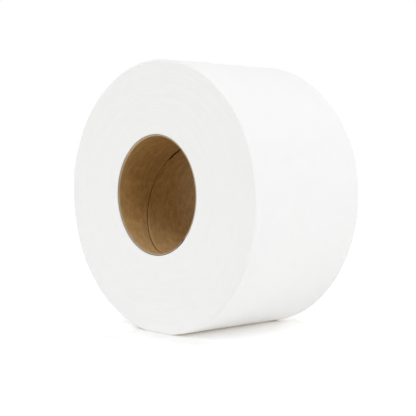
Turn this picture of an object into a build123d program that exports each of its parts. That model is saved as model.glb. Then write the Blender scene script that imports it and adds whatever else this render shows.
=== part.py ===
from build123d import *
import os
from math import cos, radians, sin, sqrt

# A small jumbo roll of toilet paper, lying on its side on the flat that its own weight presses into it.
# Millimetres. The axis runs along Y, +Z is up, and the origin is the centre of the tube's bore.

# The sheet, and the tube that it is wound on
paper_width = 95.0  # from one end of the roll to the other
tube_bore = 76.0  # inside diameter
tube_wall = 1.2

# The outline of the wound paper, measured from the level where it is widest
roll_spread = 181.5  # from side to side
crown_height = 87.5  # up to the top
belly_depth = 89.5  # down to where the bottom would be with nothing under it
belly_shift = 1.5  # of the lowest point towards +X, where the weight has rolled it
foot_press = 1.0  # how deep the floor presses the bottom flat, which makes a foot about 27 wide
tube_lift = 0.5  # of the bore's centre above the widest level
rim_bevel = 1.5  # of the ends' worn outer edges

# The turns, which show at both ends as one spiral furrow: each turn of it stands for about fifty of paper
shown_turns = 6
furrow_width = 1.4
furrow_depth = 0.6
furrow_margin = 4.0  # of plain paper inside its first turn and outside its last

# The loose end of the sheet, stuck down low on the back
sheet_thickness = 0.3  # of two embossed plies
tail_angle = 215.0  # of the sheet's edge, from +X by way of the top

# The seam that winds along the inside of the tube, right-handed about +Y
seam_lead = 92.0
seam_gap = 0.6
seam_depth = 0.6
seam_start_angle = -63.0  # where it meets the end towards -Y, from +X towards +Z

tube_radius = tube_bore / 2 + tube_wall
front_end = Plane.XZ.offset(paper_width / 2)


def corner(quarter, share):
    """The right, top, left or bottom point of a turn, in the plane of the roll's end.

    share says how far out the turn lies, from 0 on the tube to 1 on the outline. A turn on the tube is
    round, and one further out is flatter and hangs lower.
    """
    side = tube_radius + share * (roll_spread / 2 - tube_radius)
    crown = tube_radius + share * (crown_height - tube_radius)
    belly = tube_radius + share * (belly_depth - tube_radius)
    level = -share * tube_lift
    top = (0, level + crown)
    bottom = (share * belly_shift, level - belly)
    return Vector([(side, level), top, (-side, level), bottom][quarter % 4])


def wind(first_share, last_share, turns):
    """The path of the sheet, from the right-hand point of its first turn on, in quarter turns.

    Each quarter is two arcs of 45 degrees that meet in line. It leaves one corner along X or Z and reaches
    the next one square to that, and its width and height leave one choice of both radii.
    """
    quarters = round(4 * turns)
    step = (last_share - first_share) / quarters
    place = corner(0, first_share)
    heading = Vector(0, 1)
    arcs = []
    for quarter in range(quarters):
        start = corner(quarter, first_share + quarter * step)
        end = corner(quarter + 1, first_share + (quarter + 1) * step)
        width = abs(end.X - start.X)
        height = abs(end.Y - start.Y)
        excess = (width - height) * (1 + sqrt(0.5))
        radii = [width - excess, height + excess]
        if quarter % 2:
            radii.reverse()
        for radius in radii:
            arc = JernArc(start=place, tangent=heading, radius=radius, arc_size=45)
            place = arc @ 1
            heading = arc % 1
            arcs.append(arc)
    return Wire(arcs)


def along_axis(face):
    """A face in the plane of the roll's end, carried through the whole width of the paper."""
    return extrude(Plane.XZ * face, paper_width / 2, both=True)


def wound_block(missing):
    """The outline through the whole width, with worn rims and the flat that the floor presses into it.

    missing is how much paper is gone from the outside of it.
    """
    outline = make_face(wind(1, 1, 1))
    block = along_axis(offset(outline, -missing))
    block = chamfer(block.faces().filter_by(Axis.Y).edges(), rim_bevel)
    bottom = corner(3, 1)
    foot = Box(roll_spread, paper_width, foot_press, align=(Align.CENTER, Align.CENTER, Align.MIN))
    return block - Pos(0, 0, bottom.Y) * foot


def below_tail():
    """The space between the loose end of the sheet and the foot, where the outermost turn is missing."""
    reach = roll_spread + belly_depth
    tail = radians(tail_angle)
    tail_point = (reach * cos(tail), reach * sin(tail))
    return along_axis(Polygon((0, 0), tail_point, (-reach, -reach), (0, -reach), align=None))


def furrow():
    """The spiral in the end towards -Y: a V that follows the sheet from the tube out to the rim."""
    margin = furrow_margin / (roll_spread / 2 - tube_radius)
    path = front_end * wind(margin, 1 - margin, shown_turns)
    across = Plane(origin=path @ 0, x_dir=(-1, 0, 0), z_dir=path % 0)
    vee = Polygon(
        (-furrow_width, furrow_depth), (0, -furrow_depth), (furrow_width, furrow_depth), align=None
    )
    return sweep(across * vee, path)


def paper_roll():
    """All the turns as one solid, bored for the tube."""
    spiral = furrow()
    return (
        (wound_block(0) - below_tail())
        + (wound_block(sheet_thickness) & below_tail())
        - along_axis(Circle(tube_radius))
        - spiral
        - mirror(spiral, about=Plane.XZ)
    )


def seam():
    """The narrow gap that is left on the inside where the edges of the tube's winding strip meet."""
    length = paper_width + 2 * seam_gap
    path = Helix(seam_lead, length, tube_bore / 2, center=(0, -length / 2, 0), direction=(0, 1, 0))
    across = Plane(origin=path @ 0, x_dir=(0, 0, 1), z_dir=path % 0)
    gap = sweep(across * Rectangle(2 * seam_depth, seam_gap), path, is_frenet=True)
    start_angle = seam_start_angle + 360 * seam_gap / seam_lead
    return gap.rotate(Axis.Y, 90 - start_angle)


def core_tube():
    """The cardboard tube that the paper is wound on, flush with it at both ends."""
    return along_axis(Circle(tube_radius) - Circle(tube_bore / 2)) - seam()


os.makedirs("parts", exist_ok=True)
export_step(paper_roll(), "parts/paper_roll.step")
export_step(core_tube(), "parts/core_tube.step")
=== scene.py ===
import math

import bpy
import numpy as np
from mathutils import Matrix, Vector


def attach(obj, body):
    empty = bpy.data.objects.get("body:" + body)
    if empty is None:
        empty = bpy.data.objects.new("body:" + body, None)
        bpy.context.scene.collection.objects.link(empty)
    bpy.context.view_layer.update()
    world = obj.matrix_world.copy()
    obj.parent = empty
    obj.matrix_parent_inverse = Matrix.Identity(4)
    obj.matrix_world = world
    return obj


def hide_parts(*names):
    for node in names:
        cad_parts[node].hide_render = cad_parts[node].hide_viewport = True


# A small jumbo roll of toilet paper, lying on its side. The axis runs along Y, the near end is the one
# towards -Y, +Z is up, and the origin is the centre of the tube's bore.
# Sizes are in millimetres, as in the part's source, and become metres where a mesh or the camera is made. The
# floor, the lamps, and the places that a material reads as Object coordinates are in metres.
MM = 0.001

# The outline of the wound paper, measured from the level where it is widest. It follows the photograph, and
# keeps within 1.5 of the part's source: the soft paper hangs lower from its tube, to one side.
PAPER_WIDTH = 95.0  # from one end of the roll to the other
ROLL_SPREAD = 181.2  # from side to side
ROLL_SHIFT = 0.6  # of the whole outline towards +X
CROWN_HEIGHT = 88.1  # up to the top
BELLY_DEPTH = 90.0  # down to where the bottom would be with nothing under it
BELLY_SHIFT = 1.5  # of the lowest point towards +X, on top of the outline's shift
TUBE_LIFT = 1.1  # of the bore's centre above the widest level
FLOOR_LEVEL = -89.0  # where the floor presses the bottom flat

# The belly rises towards the near end, so the foot is narrower there
NEAR_LIFT = 0.75  # at the near end, and evenly less to nothing at the far end
EDGE_LIFT = 0.30  # on top of that, at the edge of the near end
EDGE_REACH = 5.0  # over which the extra fades
LIFT_SPREAD = math.radians(35.0)  # round the roll, to each side of the bottom
LIFT_FADE = 3  # power of the way out: how fast the turns inside the outline take less part in the lift
PRESS_FADE = 8  # the same for the floor's press

# The ends of the paper and the loose end of the sheet
PAPER_BORE = 39.2  # radius
RIM_ROUND = 1.1  # radius of the rims
BORE_ROUND = 0.2  # radius of the edges at the bore
TURN_LINES = 110  # that show on each end
TURN_CLOSING = 0.4  # part by which the lines stand closer together at the rim, and wider apart at the bore
TAIL_ANGLE = math.radians(215.0)  # of the sheet's edge, from +X by way of the top
COLUMNS = 320  # round the roll
SIDE_ROWS = 60  # steps from rim to rim
RIM_ROWS = 5  # on each rim

# The soft unevenness of the side
RIM_FADE = 8.0  # it grows from nothing at a rim to the whole over an eighth of the half width
PRESS_EVENS = 0.3  # a press of this depth takes it away

# The relief of the two materials, and the distance between the embossed dots
TISSUE_RELIEF = 0.1
KRAFT_RELIEF = 0.05
DOT_PITCH = 2.6

# The tube that the paper is wound on
TUBE_BORE = 38.0  # radius
TUBE_WALL = 1.15  # which leaves it 0.05 clear of the paper
TUBE_RECESS = 0.2  # of its ends inside the paper's
TUBE_ROWS = 96  # along the bore
BACK_ROWS = 10  # along the outside
TUBE_COLUMNS = 200  # beside those at the seam

# The tube's worn end, from the outside inwards: for each row its depth below the tip, its height above the
# bore, and how far it is cut board, painted crevice shade and lip with a painted highlight
TUBE_END = np.array([
    (0.50, TUBE_WALL, 1.0, 1.0, 0.0),
    (0.10, TUBE_WALL - 0.2, 1.0, 1.0, 0.0),
    (0.00, TUBE_WALL - 0.3, 1.0, 1.0, 0.0),
    (0.00, 0.45, 1.0, 0.2, 0.1),
    (0.25, 0.20, 0.9, 0.0, 0.9),
    (0.60, 0.08, 0.8, 0.0, 1.0),
    (1.00, 0.02, 0.4, 0.0, 0.5),
    (1.30, 0.00, 0.0, 0.0, 0.1),
])
BORE_START = 2.2  # of the even rows along the bore, from the paper's ends

# The seam along the inside of the tube, as the photograph shows it. Its angles are in degrees from +X by way
# of the top, and they grow towards the near end.
SEAM_LEAD = 88.0
SEAM_CROSSING = 25.0  # the place along Y where it crosses the side towards +X
SEAM_BEND = 12.0  # degrees that it turns further at the near end
BEND_REACH = 8.5  # over which it does
SEAM_GAP = 0.75
SEAM_DEPTH = 0.75
SEAM_LIP = 0.12  # how far the edge on its far side stands proud
LIP_REACH = 0.9
LIP_FADE = 0.2  # the height above the bore, on the worn ends, at which it is gone
GAP_REACH = 6.0  # over which the columns beside the seam make room for it
GROOVE_TAPER = 0.02  # by which the groove is narrower at its bottom, on each side

# The wide slit over the far half of the seam: where it ends, and what it adds to the gap
SLIT_END = 138.5
SLIT_FADE = 0.8
SLIT_GAP = 0.95
SLIT_CREEP = 1.9  # along Y, off the even helix
CREEP_END = 138.0
CREEP_FADE = 4.0

# After it the edges all but meet, and then they part again
CLOSED_MIDDLE = 151.0
CLOSED_SPREAD = 13.0
CLOSED_GAP = -0.3
CLOSED_FILL = 0.7  # part of the depth that is gone there
LOOSE_START = 190.0
LOOSE_RISE = 70.0
LOOSE_GAP = 0.6

# The nick at the near end, where the edge on the far side has torn up
NICK_REACH = 2.0
NICK_RISE = 1.2
NICK_GAP = 0.9
NICK_DEPTH = 0.3
FRAY_DEPTH = 0.85
FRAY_MIDDLE = 0.6  # from the edge
FRAY_SPREAD = 0.8

# Where light catches the seam's lip, in degrees along the seam, and how wide the bright line is
LIT_MIDDLE = 222.0
LIT_SPREAD = 26.0
LIT_WIDTH = 1.1

# The camera, fitted to the outlines in the photograph
LENS = 88.269
SENSOR = 36.0
CAMERA_PLACE = (501.783, -472.006, 24.250)
CAMERA_BACK = (0.72798, -0.68380, 0.04958)

# The light: the world's strength, and the lamps with their azimuth, elevation, size and power. Azimuth 0 is
# in front of the roll and 90 on its right, in degrees.
WORLD_LIGHT = 0.36
LAMP_DISTANCE = 1.7
LAMPS = {
    "front_high": (0, 50, 0.9, 8.4),
    "front_left_low": (-30, 12, 0.9, 4.4),
    "right_high": (85, 45, 0.9, 5.6),
    "right_low": (85, 16, 0.9, 4.2),
    "right_back_low": (125, 8, 0.6, 1.8),
    "back_low": (180, 20, 0.9, 8.4),
    "back_left_high": (-135, 40, 0.9, 2.4),
}
DIFFUSE_BOUNCES = 12  # because nearly all the light inside the tube has bounced more than once

# The floor, and the foot of the roll on it by its middle and half sizes, from which the floor's glow for the
# camera is measured
FLOOR_HALF = 4.0
FLOOR_DROP = 0.00002  # below the foot, so that the two don't share a plane
FOOT_MIDDLE = (0.0, 0.005, 0.0)
FOOT_HALF = (0.015, 0.0525, 1.0)


def bell(value, middle, spread):
    """exp(-((value - middle) / spread)**2): 1 at the middle, and next to nothing two spreads away."""
    return np.exp(-(((value - middle) / spread) ** 2))


def drop(value, middle, spread):
    """1 / (1 + exp((value - middle) / spread)): from 1 below the middle down to 0 above it."""
    return 1 / (1 + np.exp((value - middle) / spread))


def vectors(first, second, third):
    """One vector for each point of a grid, from three arrays, of which the smaller ones are repeated."""
    return np.stack(np.broadcast_arrays(first, second, third), -1)


def waves(places, rates, strengths, seed):
    """A sum of sine waves, each with its own rate along each column of places, strength and seeded phase."""
    draws = np.random.default_rng(seed)
    phases = draws.uniform(0, 2 * math.pi, len(strengths))
    total = np.zeros(places.shape[:-1])
    for rate, strength, phase in zip(rates, strengths, phases):
        total = total + strength * np.sin(2 * math.pi * (places @ np.asarray(rate)) + phase)
    return total


def weld(points, faces):
    """Joins vertices that lie within a hundredth of a micrometre and drops triangles with no area.

    Returns the new faces and the index of each kept vertex in points.
    """
    keys = np.round(points * 1e5).astype(np.int64)
    _, kept, joined = np.unique(keys, axis=0, return_index=True, return_inverse=True)
    faces = joined.reshape(-1)[faces]
    a, b, c = faces.T
    return faces[(a != b) & (b != c) & (c != a)], kept


def grid_numbers(points):
    """The vertex number of each point of a grid."""
    return np.arange(points.shape[0] * points.shape[1]).reshape(points.shape[:2])


def grid_triangles(first_rows, second_rows):
    """Two triangles for each cell between rows of vertex numbers, as one array of triples."""
    a = first_rows[:, :-1].ravel()
    b = first_rows[:, 1:].ravel()
    c = second_rows[:, 1:].ravel()
    d = second_rows[:, :-1].ravel()
    return np.concatenate([np.stack([a, b, c], 1), np.stack([a, c, d], 1)])


def new_object(name, data):
    """An object of the scene, at the origin, that shows the data."""
    item = bpy.data.objects.new(name, data)
    bpy.context.scene.collection.objects.link(item)
    return item


def make_mesh(name, points, faces, attributes, sharp_angle):
    """A mesh object from a grid of points in millimetres, triangles, and grids of vectors as attributes."""
    points = points.reshape(-1, 3)
    faces, kept = weld(points, faces)
    mesh = bpy.data.meshes.new(name)
    mesh.vertices.add(len(kept))
    mesh.vertices.foreach_set("co", (points[kept] * MM).astype(np.float32).ravel())
    mesh.loops.add(faces.size)
    mesh.loops.foreach_set("vertex_index", faces.astype(np.int32).ravel())
    mesh.polygons.add(len(faces))
    mesh.polygons.foreach_set("loop_start", np.arange(0, faces.size, 3, dtype=np.int32))
    mesh.polygons.foreach_set("loop_total", np.full(len(faces), 3, dtype=np.int32))
    mesh.polygons.foreach_set("use_smooth", np.ones(len(faces), dtype=bool))
    for label, values in attributes.items():
        layer = mesh.attributes.new(label, "FLOAT_VECTOR", "POINT")
        layer.data.foreach_set("vector", values.reshape(-1, 3)[kept].astype(np.float32).ravel())
    mesh.update(calc_edges=True)
    mesh.validate()
    mesh.set_sharp_from_angle(angle=math.radians(sharp_angle))
    return new_object(name, mesh)


def squashed_turn(share, angle, inset):
    """Points x, z of a turn, where its outward normal points at the given angle from +X towards +Z.

    share goes from 0 on the tube, which is round, to 1 on the outline less the inset. A quarter of width w
    and height h is two arcs of 45 degrees that meet in line: the one at the side has the radius w - e and
    the one at the crown h + e, with e = (w - h) * (1 + sqrt(1/2)).
    """
    cosine = np.cos(angle)
    sine = np.sin(angle)
    side, crown, belly = [
        PAPER_BORE + share * (reach - inset - PAPER_BORE)
        for reach in (ROLL_SPREAD / 2, CROWN_HEIGHT, BELLY_DEPTH)
    ]
    below = sine < 0
    middle = np.where(below, share * BELLY_SHIFT, 0.0)
    width = side - middle * np.sign(cosine)
    height = np.where(below, belly, crown)
    excess = (width - height) * (1 + math.sqrt(0.5))
    on_side = np.abs(cosine) >= np.abs(sine)
    radius = np.where(on_side, width - excess, height + excess)
    out = np.where(on_side, width - radius, 0.0) + radius * np.abs(cosine)
    up = np.where(on_side, 0.0, height - radius) + radius * np.abs(sine)
    x = share * ROLL_SHIFT + middle + np.sign(cosine) * out
    z = -share * TUBE_LIFT + np.sign(sine) * up
    return x, z


def straying(turn):
    """How far the sheet strays along the axis while it is wound, in millimetres, to either side.

    It is a sum of sine waves of the turn number, from slow ones of many turns to ones of about a turn, so
    neighbouring turns stand out unevenly and each one follows the spiral.
    """
    rates = np.array([0.017, 0.041, 0.083, 0.137, 0.211, 0.293, 0.383, 0.457, 0.619, 0.857])
    strengths = np.array([0.030, 0.026, 0.022, 0.020, 0.018, 0.018, 0.018, 0.016, 0.010, 0.006])
    return waves(turn[..., None], rates[:, None], strengths, seed=11)


def near_bottom(angle):
    """A bell of the angle off the bottom: 1 at the bottom, and next to nothing on the sides and the top."""
    off_bottom = (angle - 0.5 * math.pi) % (2 * math.pi) - math.pi
    return bell(off_bottom, 0, LIFT_SPREAD)


def end_rows(around):
    """The rows of points of one end, from the bore over its face and the rim to the side.

    Returns for each point its share of the way out, its offset beyond the last turn, its depth inwards from
    the end, its turn number, and how squarely the skin faces along the axis. With p as the part of all turns,
    the share on the face is s0 + (1 - s0) * (p + closing * p * (1 - p)), and both edges are quarter rounds.
    """
    ring = np.ones((1, COLUMNS + 1))
    quarter = np.array([[0.0], [0.3], [1.0]]) * ring
    first_share = BORE_ROUND / (ROLL_SPREAD / 2 - RIM_ROUND - PAPER_BORE)
    inner_shares = first_share * quarter
    inner_depths = BORE_ROUND * quarter[::-1]
    lines = np.arange(TURN_LINES)[:, None] + around
    part = lines / TURN_LINES
    line_shares = first_share + (1 - first_share) * (part + TURN_CLOSING * part * (1 - part))
    bend = np.linspace(0, math.pi / 2, RIM_ROWS + 1)[1:, None] * ring

    share = np.concatenate([inner_shares, line_shares, line_shares[-1:].repeat(RIM_ROWS, 0)])
    offset = np.concatenate([inner_shares * 0, lines * 0, RIM_ROUND * np.sin(bend)])
    depth = np.concatenate([inner_depths, lines * 0, RIM_ROUND * (1 - np.cos(bend))])
    turn = np.concatenate([inner_shares * 0, lines, lines[-1:].repeat(RIM_ROWS, 0)])
    facing = np.concatenate([inner_shares * 0 + 1, lines * 0 + 1, np.cos(bend)])
    return share, offset, depth, turn, facing


def side_rows(around, angle, edge_x, edge_z):
    """The rows of points x, y, z of the side, from rim to rim, given the x and z of the outline.

    With v from -1 to 1 along the roll, the bottom is lifted by near lift * (1 - v) / 2, and near the edge by
    edge lift * exp(-distance / reach), and then pressed flat. The unevenness is a sum of waves round the roll
    and along it. It goes inwards only, and it fades at the rims and where the floor presses.
    """
    along = np.linspace(-1, 1, SIDE_ROWS + 1)[1:-1, None]
    y = along * (PAPER_WIDTH / 2 - RIM_ROUND) + 0 * around
    near_edge = np.exp(-(y + PAPER_WIDTH / 2) / EDGE_REACH)
    z = edge_z + near_bottom(angle) * (NEAR_LIFT * (1 - along) / 2 + EDGE_LIFT * near_edge)
    press = np.maximum(0.0, FLOOR_LEVEL - z)
    z = z + press

    # The waves' numbers round the roll and along its width
    rates = [(3, 0.6), (5, -0.8), (8, 1.1), (11, 1.9), (17, -2.3), (26, 2.9)]
    strengths = [0.05, 0.045, 0.03, 0.025, 0.015, 0.01]
    places = np.stack([around + 0 * y, y / PAPER_WIDTH], -1)
    uneven = waves(places, rates, strengths, seed=5)
    fade = np.clip((1 - np.abs(along)) * RIM_FADE, 0, 1)
    hollow = (uneven.max() - uneven) * fade * np.clip(1 - press / PRESS_EVENS, 0, 1)
    return edge_x - hollow * np.cos(angle), y, z - hollow * np.sin(angle)


def pressed(z, taking_part):
    """The rows of an end with the floor's press: whole on the outline, and less and less inside it."""
    return z + np.maximum(0.0, FLOOR_LEVEL - z[-1:]) * taking_part**PRESS_FADE


def wound_paper():
    """The wound paper as one closed skin, with a row of points for each line round the roll.

    The rows go from the bore of the near end over its face, its rim and the side to the far end. On the faces
    they are the turns of one spiral: row i lies at turn i + j / columns in column j, so its last point is the
    next row's first. On the side the skin follows the last turn, which leaves a step of one line at the loose
    end. Round the outline, a column is where the normal points at its angle.
    """
    around = np.arange(COLUMNS + 1) / COLUMNS
    angle = TAIL_ANGLE + 2 * math.pi * around
    normal_x = np.cos(angle)
    normal_z = np.sin(angle)
    share, offset, depth, turn, facing = end_rows(around)
    x, z = squashed_turn(share, angle, RIM_ROUND)
    x = x + offset * normal_x
    z = z + offset * normal_z
    side_x, side_y, side_z = side_rows(around, angle, x[-1:], z[-1:])

    # The turns inside the outline take less and less part in the lift and the press. The last turn takes part
    # in full all round, so that the step at the tail closes.
    taking_part = np.minimum(share / share[-1].min(), 1.0)
    near_z = z + (NEAR_LIFT + EDGE_LIFT) * near_bottom(angle) * taking_part**LIFT_FADE
    stray = straying(turn) * facing
    near_y = -PAPER_WIDTH / 2 + depth + stray - stray.min()
    far_y = PAPER_WIDTH / 2 - depth + stray - stray.max()
    rows_x = np.concatenate([x, side_x, x[::-1]])
    rows_y = np.concatenate([near_y, side_y, far_y[::-1]])
    rows_z = np.concatenate([pressed(near_z, taking_part), side_z, pressed(z, taking_part)[::-1]])
    points = vectors(rows_x, rows_y, np.maximum(rows_z, FLOOR_LEVEL))

    # What the material reads: the turns on the faces, and the way along and across the sheet on the side
    rows_turn = np.concatenate([turn, turn[-1:].repeat(len(side_y), 0), turn[::-1]])
    steps = np.hypot(np.diff(side_x[0]), np.diff(side_z[0]))
    run = np.concatenate([[0.0], np.cumsum(steps)])
    on_end = np.concatenate([facing, 0 * side_y, facing[::-1]])
    attributes = {"turns": vectors(normal_x, normal_z, rows_turn), "sheet": vectors(run, rows_y, on_end)}

    # The skin, and the step that the loose end makes from the last turn of one end to that of the other
    numbers = grid_numbers(points)
    skin = grid_triangles(np.roll(numbers, -1, axis=0), numbers)
    first = len(share) - RIM_ROWS - 1
    last = len(points) - first
    step = np.stack([numbers[first:last, -1], numbers[first:last, 0]], 1)
    faces = np.concatenate([skin, grid_triangles(step[1:], step[:-1])])
    return make_mesh("wound_paper", points, faces, attributes, sharp_angle=50)


def tube_rows(on_end, in_bore, outside):
    """A column with one value for each row of the tube: near end, bore, far end, and back on the outside."""
    through = np.concatenate([on_end, np.full(TUBE_ROWS, in_bore), on_end[::-1]])
    return np.concatenate([through, np.full(BACK_ROWS, outside)])[:, None]


def kraft_tube():
    """The cardboard tube: a ring of points for each row of a profile that goes round the wall.

    Inside, the seam lies at the angle a0 = 360 * (crossing - y) / lead, and the columns wind with it. A point
    at the angle a is then bore * (a - a0) * sin(slope) away from the seam. The columns next to the seam drop
    into a groove. It is a wide slit over the far half and nearly shut after that, and its edges part again
    towards the near end, where the far one is torn up a little. The rows on the outside lead back to the
    first one by the short way round.
    """
    slope = math.atan(SEAM_LEAD / (2 * math.pi * TUBE_BORE))
    to_angle = 1 / (TUBE_BORE * math.sin(slope))
    strip_width = 2 * math.pi / to_angle
    end = PAPER_WIDTH / 2

    end_depth, end_height, end_cut, end_crevice_shade, end_rim_highlight = TUBE_END.T
    tip_y = end - TUBE_RECESS - end_depth
    bore_y = np.linspace(-end + BORE_START, end - BORE_START, TUBE_ROWS)
    through_y = np.concatenate([-tip_y, bore_y, tip_y[::-1]])
    back = np.linspace(0, 1, BACK_ROWS + 2)[1:-1]
    y = np.concatenate([through_y, through_y[-1] * (1 - 2 * back)])[:, None]
    radius = tube_rows(TUBE_BORE + end_height, TUBE_BORE, TUBE_BORE + TUBE_WALL)
    on_cut = tube_rows(end_cut, 0.0, 1.0)
    crevice_shade = tube_rows(end_crevice_shade, 0.0, 1.0)
    rim_highlight = tube_rows(end_rim_highlight, 0.0, 0.0)

    # The seam in each row: where it is, how far its edges have parted, how deep it is, and how far it is off
    # the even helix
    through_degrees = (SEAM_CROSSING - through_y) * 360 / SEAM_LEAD
    bend = np.clip((BEND_REACH - end - through_y) / BEND_REACH, 0, 1)
    through_degrees = through_degrees + SEAM_BEND * bend**2
    short_way = through_degrees[0] - 360 - through_degrees[-1]
    seam_degrees = np.concatenate([through_degrees, through_degrees[-1] + back * short_way])[:, None]
    slit = drop(seam_degrees, SLIT_END, SLIT_FADE)
    closed = bell(seam_degrees, CLOSED_MIDDLE, CLOSED_SPREAD)
    loose = np.clip((seam_degrees - LOOSE_START) / LOOSE_RISE, 0, 1)
    nick = np.clip((-y - end + NICK_REACH) / NICK_RISE, 0, 1)
    gap = SEAM_GAP + SLIT_GAP * slit + CLOSED_GAP * closed + LOOSE_GAP * loose + NICK_GAP * nick
    depth = SEAM_DEPTH * (1 - CLOSED_FILL * closed) + NICK_DEPTH * nick
    creep = SLIT_CREEP * drop(seam_degrees, CREEP_END, CREEP_FADE) * math.cos(slope)

    # The columns, by their distance from the seam: close together at its edges, then even round the tube. The
    # first and the last one are the two sides of the groove's bottom.
    edge = np.array([0.0, GROOVE_TAPER, 0.25, 0.6, 1.2, 2.4, 4.5])
    even = np.linspace(0, 1, TUBE_COLUMNS + 2)[1:-1]
    rest = edge[-1] + even * (strip_width - 2 * edge[-1])
    base = np.concatenate([[0.0], edge, rest, strip_width - edge[::-1], [strip_width]])
    far_side = base < strip_width / 2
    room = np.where(far_side, np.exp(-base / GAP_REACH), -np.exp(-(strip_width - base) / GAP_REACH))
    distance = base + room * gap / 2 + creep * np.abs(room)
    in_gap = np.zeros(len(base))
    in_gap[[0, -1]] = 1
    distance[:, 0] = gap[:, 0] / 2 - GROOVE_TAPER + creep[:, 0]
    distance[:, -1] = strip_width - gap[:, 0] / 2 + GROOVE_TAPER + creep[:, 0]

    # The wall: the groove goes outwards, and its raised and its torn edge go inwards
    deep = np.maximum(radius, TUBE_BORE + depth) - radius
    lip = np.exp(-base / LIP_REACH) * far_side
    in_bore = np.clip((TUBE_BORE + LIP_FADE - radius) / LIP_FADE, 0, 1)
    fray = nick * bell(base, FRAY_MIDDLE, FRAY_SPREAD) * far_side
    wall = radius + in_gap * deep - SEAM_LIP * lip * in_bore - FRAY_DEPTH * fray
    turned = np.radians(seam_degrees) + distance * to_angle
    points = vectors(wall * np.cos(turned), y, wall * np.sin(turned))

    # What the material reads: the way along and across the strip, and its cut ends; the painted shade in the
    # groove and on the torn edge, its lip where that catches the light, and the slit; and the painted shade
    # in the crevice round the ends, strongest opposite 20 degrees, and the painted highlight on their lip at
    # the upper left
    run = TUBE_BORE * turned * math.cos(slope) - y * math.sin(slope)
    shade = 0.50 + 0.48 * slit - 0.36 * closed
    lit = bell(seam_degrees, LIT_MIDDLE, LIT_SPREAD)
    lit_lip = lit * np.exp(-((base / LIT_WIDTH) ** 4)) * far_side * (1 - in_gap)
    shade_side = 0.5 - 0.5 * np.cos(turned - math.radians(20))
    upper_left = bell(np.degrees(turned) % 360, 120, 30)
    attributes = {
        "strip": vectors(run, distance, on_cut),
        "seam": vectors(np.maximum(in_gap * shade, 0.8 * fray), lit_lip, np.maximum(slit, fray)),
        "rim": vectors(crevice_shade * shade_side * (1 - 0.3 * upper_left), rim_highlight * upper_left, 0.0),
    }

    numbers = grid_numbers(points)
    numbers = np.concatenate([numbers, numbers[:, :1]], 1)
    faces = grid_triangles(numbers, np.roll(numbers, -1, axis=0))
    return make_mesh("kraft_tube", points, faces, attributes, sharp_angle=40)


class Link:
    """One output of a node. + - * and ** between links and numbers add Math nodes."""

    def __init__(self, tree, socket):
        self.tree = tree
        self.socket = socket

    def math(self, operation, first, second):
        """A Math node."""
        return self.tree.add("Math", {"operation": operation}, {0: first, 1: second})

    def __add__(self, other):
        return self.math("ADD", self, other)

    def __sub__(self, other):
        return self.math("SUBTRACT", self, other)

    def __mul__(self, other):
        return self.math("MULTIPLY", self, other)

    def __pow__(self, other):
        return self.math("POWER", self, other)

    def __rsub__(self, other):
        return self.math("SUBTRACT", other, self)

    __radd__ = __add__
    __rmul__ = __mul__


class Tree:
    """The nodes of a material or of the world."""

    def __init__(self, owner):
        owner.use_nodes = True
        self.nodes = owner.node_tree.nodes
        self.links = owner.node_tree.links
        self.nodes.clear()

    def add(self, kind, settings, inputs, output=0):
        """A new node of that type: its settings are set first, then its sockets get values or links."""
        node = self.nodes.new("ShaderNode" + kind)
        for label, setting in settings.items():
            setattr(node, label, setting)
        for label, value in inputs.items():
            if isinstance(value, Link):
                self.links.new(value.socket, node.inputs[label])
            else:
                node.inputs[label].default_value = value
        return Link(self, node.outputs[output]) if node.outputs else None

    def split(self, vector):
        """The three numbers of a vector."""
        return [self.add("SeparateXYZ", {}, {0: vector}, part) for part in range(3)]

    def join(self, x, y, z):
        """A vector from three numbers."""
        return self.add("CombineXYZ", {}, {0: x, 1: y, 2: z})

    def attribute(self, label):
        """The three numbers of a vector attribute of the mesh."""
        return self.split(self.add("Attribute", {"attribute_name": label}, {}, "Vector"))

    def place(self):
        """The point on the object, in metres."""
        return self.add("TexCoord", {}, {}, "Object")

    def vector_math(self, operation, first, second=(0.0, 0.0, 0.0), output="Vector"):
        """One step of vector maths, with the zero vector as second where none is given."""
        return self.add("VectorMath", {"operation": operation}, {0: first, 1: second}, output)

    def larger(self, first, second):
        """The larger of two numbers."""
        return self.add("Math", {"operation": "MAXIMUM"}, {0: first, 1: second})

    def wave(self, value, pitch):
        """A cosine of the value that repeats after the pitch."""
        return self.add("Math", {"operation": "COSINE"}, {0: value * (2 * math.pi / pitch)})

    def noise(self, place, scale, detail, roughness):
        """Noise from 0 to 1 at that place."""
        sockets = {"Vector": place, "Scale": scale, "Detail": detail, "Roughness": roughness}
        return self.add("TexNoise", {"noise_dimensions": "3D"}, sockets)

    def ramp(self, value, start, finish):
        """0 up to the start, 1 from the finish on, and a smooth change between. Either may be the larger."""
        settings = {"interpolation_type": "SMOOTHSTEP"}
        return self.add("MapRange", settings, {"Value": value, "From Min": start, "From Max": finish})

    def blend(self, share, first, second, kind="MIX"):
        """A colour that goes from first to second, or to their sum, as share goes from 0 to 1."""
        settings = {"data_type": "RGBA", "blend_type": kind}
        return self.add("Mix", settings, {0: share, 6: first, 7: second}, 2)

    def bump(self, height, depth):
        """A bump whose height from 0 to 1 stands for depth in metres."""
        return self.add("Bump", {}, {"Strength": 1.0, "Distance": depth, "Height": height})

    def surface(self, sockets):
        """A principled shader with those sockets as the material's surface."""
        self.add("OutputMaterial", {}, {"Surface": self.add("BsdfPrincipled", {}, sockets)})


def colour(red, green, blue):
    """A solid colour."""
    return (red, green, blue, 1.0)


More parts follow.
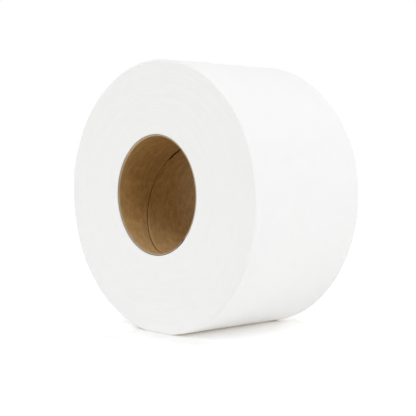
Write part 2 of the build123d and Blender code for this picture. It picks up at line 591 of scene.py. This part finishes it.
def tissue_material():
    """White tissue: the cut edges of the turns on the ends, and creped, finely embossed sheet on the side.

    An end's height is 0.8 * fine lines + 0.35 * fibres, and the side's is 0.45 * crepe - dots. The dots are
    (cos a * cos b / 2 + 1/2) ** 2.5, with a and b along and across the sheet. The ends have painted light:
    they are a little whiter towards the bottom and a little darker and yellower towards the top. The side has
    painted bounce light: it is warm and bright where it nears the floor.
    """
    material = bpy.data.materials.new("white_tissue")
    tree = Tree(material)
    east, north, turn = tree.attribute("turns")
    along, across, on_end = tree.attribute("sheet")

    # Lines that follow the turns, some short and some long. Here and below, a bare third number in a noise's
    # place picks a slice of it, so that no two are alike.
    fine_lines = tree.noise(tree.join(east * 9.0, north * 9.0, turn * 2.3), 1.0, 3.0, 0.6)
    broad_lines = tree.noise(tree.join(east * 2.0, north * 2.0, turn * 0.35), 1.0, 2.0, 0.5)
    fibres = tree.noise(tree.place(), 2200.0, 2.0, 0.6)

    # Crepe runs across the sheet in short ridges, over staggered embossed dots that come and go in patches
    crepe = tree.noise(tree.join(along * 2.6, across * 0.45, 0.0), 1.0, 3.0, 0.55)
    wander = tree.noise(tree.join(along * 0.12, across * 0.12, 8.0), 1.0, 2.0, 0.5)
    dots_along = tree.wave(along + wander * 3.0, DOT_PITCH)
    dots_across = tree.wave(across + wander * 2.0, DOT_PITCH)
    cloud = tree.noise(tree.join(along * 0.06, across * 0.06, 3.0), 1.0, 2.0, 0.5)
    dots = (dots_along * dots_across * 0.5 + 0.5) ** 2.5 * (tree.ramp(cloud, 0.38, 0.62) * 0.75 + 0.25)

    end_height = fine_lines * 0.8 + fibres * 0.35
    side_height = crepe * 0.45 - dots
    height = end_height * on_end + side_height * (1 - on_end)

    _, _, level = tree.split(tree.place())
    end_shade = broad_lines * 0.6 + fine_lines * 0.4
    # Painted light: the ends are lighter towards the bottom, and darker and a little yellower towards the top
    end_lit_below = tree.blend(end_shade, colour(0.926, 0.925, 0.924), colour(0.996, 0.996, 0.997))
    end_shaded_above = tree.blend(end_shade, colour(0.895, 0.893, 0.881), colour(0.965, 0.964, 0.957))
    end_colour = tree.blend(tree.ramp(level, -0.09, 0.09), end_lit_below, end_shaded_above)
    side_shade = cloud * 0.6 + crepe * 0.4 - dots * 0.5 + 0.2
    side_colour = tree.blend(side_shade, colour(0.925, 0.925, 0.925), colour(0.960, 0.959, 0.960))
    # Painted bounce light from the floor: the side is brighter low down, and warmer right at the floor
    painted_floor_bounce = tree.ramp(level, -0.078, -0.088)
    side_colour = tree.blend(painted_floor_bounce, side_colour, colour(0.985, 0.983, 0.975))
    painted_warm_bounce = tree.ramp(level, -0.084, -0.0885)
    side_colour = tree.blend(painted_warm_bounce, side_colour, colour(0.985, 0.965, 0.920))
    tree.surface({
        "Base Color": tree.blend(on_end, side_colour, end_colour),
        "Roughness": 0.95,
        "Specular IOR Level": 0.15,
        "Normal": tree.bump(height, TISSUE_RELIEF * MM),
    })
    return material


def kraft_material():
    """Brown kraft board: fibres that lie along the wound strip, soft mottling, and a paler cut edge.

    The shade inside is 3 * (0.35 * fibres + 0.2 * streaks + 0.45 * mottle - 1/2) + 1/2, with pale and dark
    specks. Over it come the lit lip of the seam, a faint darker band above the middle of the near half,
    painted light that makes the bottom paler towards the near end, and paper dust over the far half and a
    little at the near end. An end has a painted highlight on its lip at the upper left and painted shade in
    the crevice to the paper. The seam's groove, and the torn edge at the nick, are painted a warm brown
    shade, darkest in the slit.
    """
    material = bpy.data.materials.new("kraft_board")
    tree = Tree(material)
    run, distance, on_cut = tree.attribute("strip")
    in_gap, lit_lip, slit = tree.attribute("seam")
    crevice_shade, rim_highlight, _ = tree.attribute("rim")
    fibres = tree.noise(tree.join(run * 0.7, distance * 1.9, 0.0), 1.0, 3.0, 0.65)
    streaks = tree.noise(tree.join(run * 0.05, distance * 0.4, 5.0), 1.0, 2.0, 0.5)
    mottle = tree.noise(tree.join(run * 0.18, distance * 0.28, 9.0), 1.0, 3.0, 0.6)
    specks = tree.noise(tree.join(run * 0.55, distance * 1.1, 14.0), 1.0, 1.0, 0.5)
    shade = (fibres * 0.35 + streaks * 0.2 + mottle * 0.45 - 0.5) * 3.0 + 0.5
    shade = shade + tree.ramp(specks, 0.66, 0.74) * 0.5 - tree.ramp(specks, 0.36, 0.28) * 0.5
    inside = tree.blend(shade, colour(0.257, 0.133, 0.032), colour(0.500, 0.293, 0.094))
    inside = tree.blend(lit_lip * 0.8, inside, colour(0.66, 0.45, 0.21))

    _, along, level = tree.split(tree.place())
    # A faint darker band above the middle of the near half
    darker_band = tree.ramp(level, 0.006, 0.016) * tree.ramp(level, 0.030, 0.021) * tree.ramp(along, -0.002, -0.016)
    inside = tree.blend(darker_band * 0.13, inside, colour(0.10, 0.05, 0.01))
    # Painted light: the bottom is paler towards the near end, where light falls in through the opening
    painted_lit_bottom = tree.ramp(level, 0.0, -0.036) * tree.ramp(along, 0.0, -0.02)
    inside = tree.blend(painted_lit_bottom * (mottle * 0.5 + 0.75) * 0.19, inside, colour(0.80, 0.57, 0.33))
    dust = tree.ramp(along, -0.005, 0.03) + tree.ramp(along, -0.036, -0.047) * 0.25
    inside = tree.blend(dust * 0.1, inside, colour(0.90, 0.87, 0.72))

    cut = tree.blend(fibres, colour(0.42, 0.33, 0.23), colour(0.58, 0.47, 0.35))
    board = tree.blend(on_cut, inside, cut)
    # Painted highlight: the lip of each end is paler at the upper left
    board = tree.blend(rim_highlight * 0.7, board, colour(0.85, 0.66, 0.44))
    # Painted shade: the crevice between the tube and the paper is dark
    board = tree.blend(crevice_shade * 0.9, board, colour(0.045, 0.025, 0.010))
    # Painted shade: the seam's groove and the torn edge at the nick are dark brown, darkest in the slit
    groove_shade = tree.blend(slit, colour(0.120, 0.042, 0.000), colour(0.030, 0.012, 0.002))
    tree.surface({
        "Base Color": tree.blend(in_gap, board, groove_shade),
        "Roughness": 0.85,
        "Specular IOR Level": 0.25,
        "Normal": tree.bump(fibres * 0.6 + mottle * 0.4, KRAFT_RELIEF * MM),
    })
    return material


def floor_material():
    """Pale floor, which to the camera also glows: not at the foot, a little round it, and white far off.

    The glow grows with the distance from the foot, so that the shadow of the roll stays: that distance is the
    length of what |x| and |y| have beyond the half sizes of the foot. Close to the foot the glow is weaker at
    the near end on the right, and at the far end it sets in later and is stronger. There is more of it on the
    left and past the far end. Under the belly on the right, close to the foot, there is a faint warm glow, as
    off the paper, but not in front of the near end and in a stretch before the far end.
    """
    material = bpy.data.materials.new("pale_floor")
    tree = Tree(material)
    camera_ray = tree.add("LightPath", {}, {}, "Is Camera Ray")
    place = tree.place()
    right, along, _ = tree.split(place)
    beyond = tree.vector_math("ABSOLUTE", tree.vector_math("SUBTRACT", place, FOOT_MIDDLE))
    beyond = tree.vector_math("MAXIMUM", tree.vector_math("SUBTRACT", beyond, FOOT_HALF))
    away = tree.vector_math("LENGTH", beyond, output="Value")

    at_front = tree.ramp(along, -0.038, -0.050) * tree.ramp(along, -0.070, -0.058)
    at_front = at_front * tree.ramp(right, 0.0, 0.012)
    at_back = tree.ramp(along, 0.034, 0.046)
    close = tree.ramp(away, 0.001, 0.014) * (0.14 - at_front * 0.08)
    close_at_back = tree.ramp(away, 0.008, 0.022) * 0.20
    spread = close + (close_at_back - close) * at_back + tree.ramp(away, 0.03, 0.12) * 0.86
    spread = spread + tree.ramp(right, -0.012, -0.034) * 0.2 + tree.ramp(along, 0.052, 0.066) * 0.14
    glow = tree.blend(camera_ray * spread, colour(0.0, 0.0, 0.0), colour(1.0, 1.0, 1.0))

    under_belly = tree.ramp(right, 0.004, 0.014) * tree.ramp(away, 0.018, 0.003) * (1 - at_front)
    under_belly = under_belly * (1 - at_back * tree.ramp(along, 0.055, 0.047))
    glow = tree.blend(camera_ray * under_belly, glow, colour(0.145, 0.132, 0.107), "ADD")
    tree.surface({
        "Base Color": colour(0.944, 0.942, 0.938),
        "Roughness": 1.0,
        "Specular IOR Level": 0.0,
        "Emission Color": glow,
        "Emission Strength": 1.0,
    })
    return material


def floor():
    """A wide flat square under the roll."""
    level = FLOOR_LEVEL * MM - FLOOR_DROP
    mesh = bpy.data.meshes.new("floor")
    corners = [(x * FLOOR_HALF, y * FLOOR_HALF, level) for x, y in ((-1, -1), (1, -1), (1, 1), (-1, 1))]
    mesh.from_pydata(corners, [], [(0, 1, 2, 3)])
    mesh.materials.append(floor_material())
    ground = new_object("floor", mesh)


def studio_world():
    """Even white light from all round.

    Past the roll, the camera sees plain white, and so do glossy and clear surfaces.
    """
    world = bpy.data.worlds.new("studio")
    bpy.context.scene.world = world
    tree = Tree(world)
    seen = tree.add("LightPath", {}, {}, "Is Camera Ray")
    mirrored = tree.add("LightPath", {}, {}, "Is Glossy Ray")
    through = tree.add("LightPath", {}, {}, "Is Transmission Ray")
    white = colour(1.0, 1.0, 1.0)
    light = tree.add("Background", {}, {"Color": white, "Strength": WORLD_LIGHT})
    backdrop = tree.add("Background", {}, {"Color": white, "Strength": 1.0})
    either = tree.larger(tree.larger(seen, mirrored), through)
    mixed = tree.add("MixShader", {}, {0: either, 1: light, 2: backdrop})
    tree.add("OutputWorld", {}, {"Surface": mixed})


def aim(item, place, back):
    """Puts a lamp or the camera in its place, looking against the direction back, with its top up."""
    item.location = place
    item.rotation_mode = "QUATERNION"
    item.rotation_quaternion = (-back).to_track_quat("-Z", "Y")


def lamp(name, azimuth, elevation, size, power):
    """A soft square lamp that faces the roll."""
    across = math.radians(azimuth)
    up = math.radians(elevation)
    level = math.cos(up)
    towards = Vector((math.sin(across) * level, -math.cos(across) * level, math.sin(up)))
    data = bpy.data.lights.new(name, "AREA")
    data.shape = "SQUARE"
    data.size = size
    data.energy = power
    aim(new_object(name, data), towards * LAMP_DISTANCE, towards)


def camera():
    """The photograph's camera."""
    data = bpy.data.cameras.new("camera")
    data.lens = LENS
    data.sensor_width = SENSOR
    data.clip_start = 0.01
    data.clip_end = 50.0
    item = new_object("camera", data)
    aim(item, Vector(CAMERA_PLACE) * MM, Vector(CAMERA_BACK))
    bpy.context.scene.camera = item


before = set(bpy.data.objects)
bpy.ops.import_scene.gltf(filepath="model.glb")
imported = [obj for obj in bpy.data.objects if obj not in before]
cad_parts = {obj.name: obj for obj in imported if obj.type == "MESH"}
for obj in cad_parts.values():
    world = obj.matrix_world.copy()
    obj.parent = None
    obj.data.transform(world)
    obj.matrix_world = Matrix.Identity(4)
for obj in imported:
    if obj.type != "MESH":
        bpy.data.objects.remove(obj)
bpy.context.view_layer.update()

paper = wound_paper()
paper.data.materials.append(tissue_material())
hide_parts("paper_roll")
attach(paper, "root")

tube = kraft_tube()
tube.data.materials.append(kraft_material())
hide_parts("core_tube")
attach(tube, "root")

floor()
studio_world()
for name, values in LAMPS.items():
    lamp(name, *values)
camera()
bpy.context.scene.cycles.diffuse_bounces = DIFFUSE_BOUNCES
bpy.context.scene.view_settings.view_transform = "Standard"
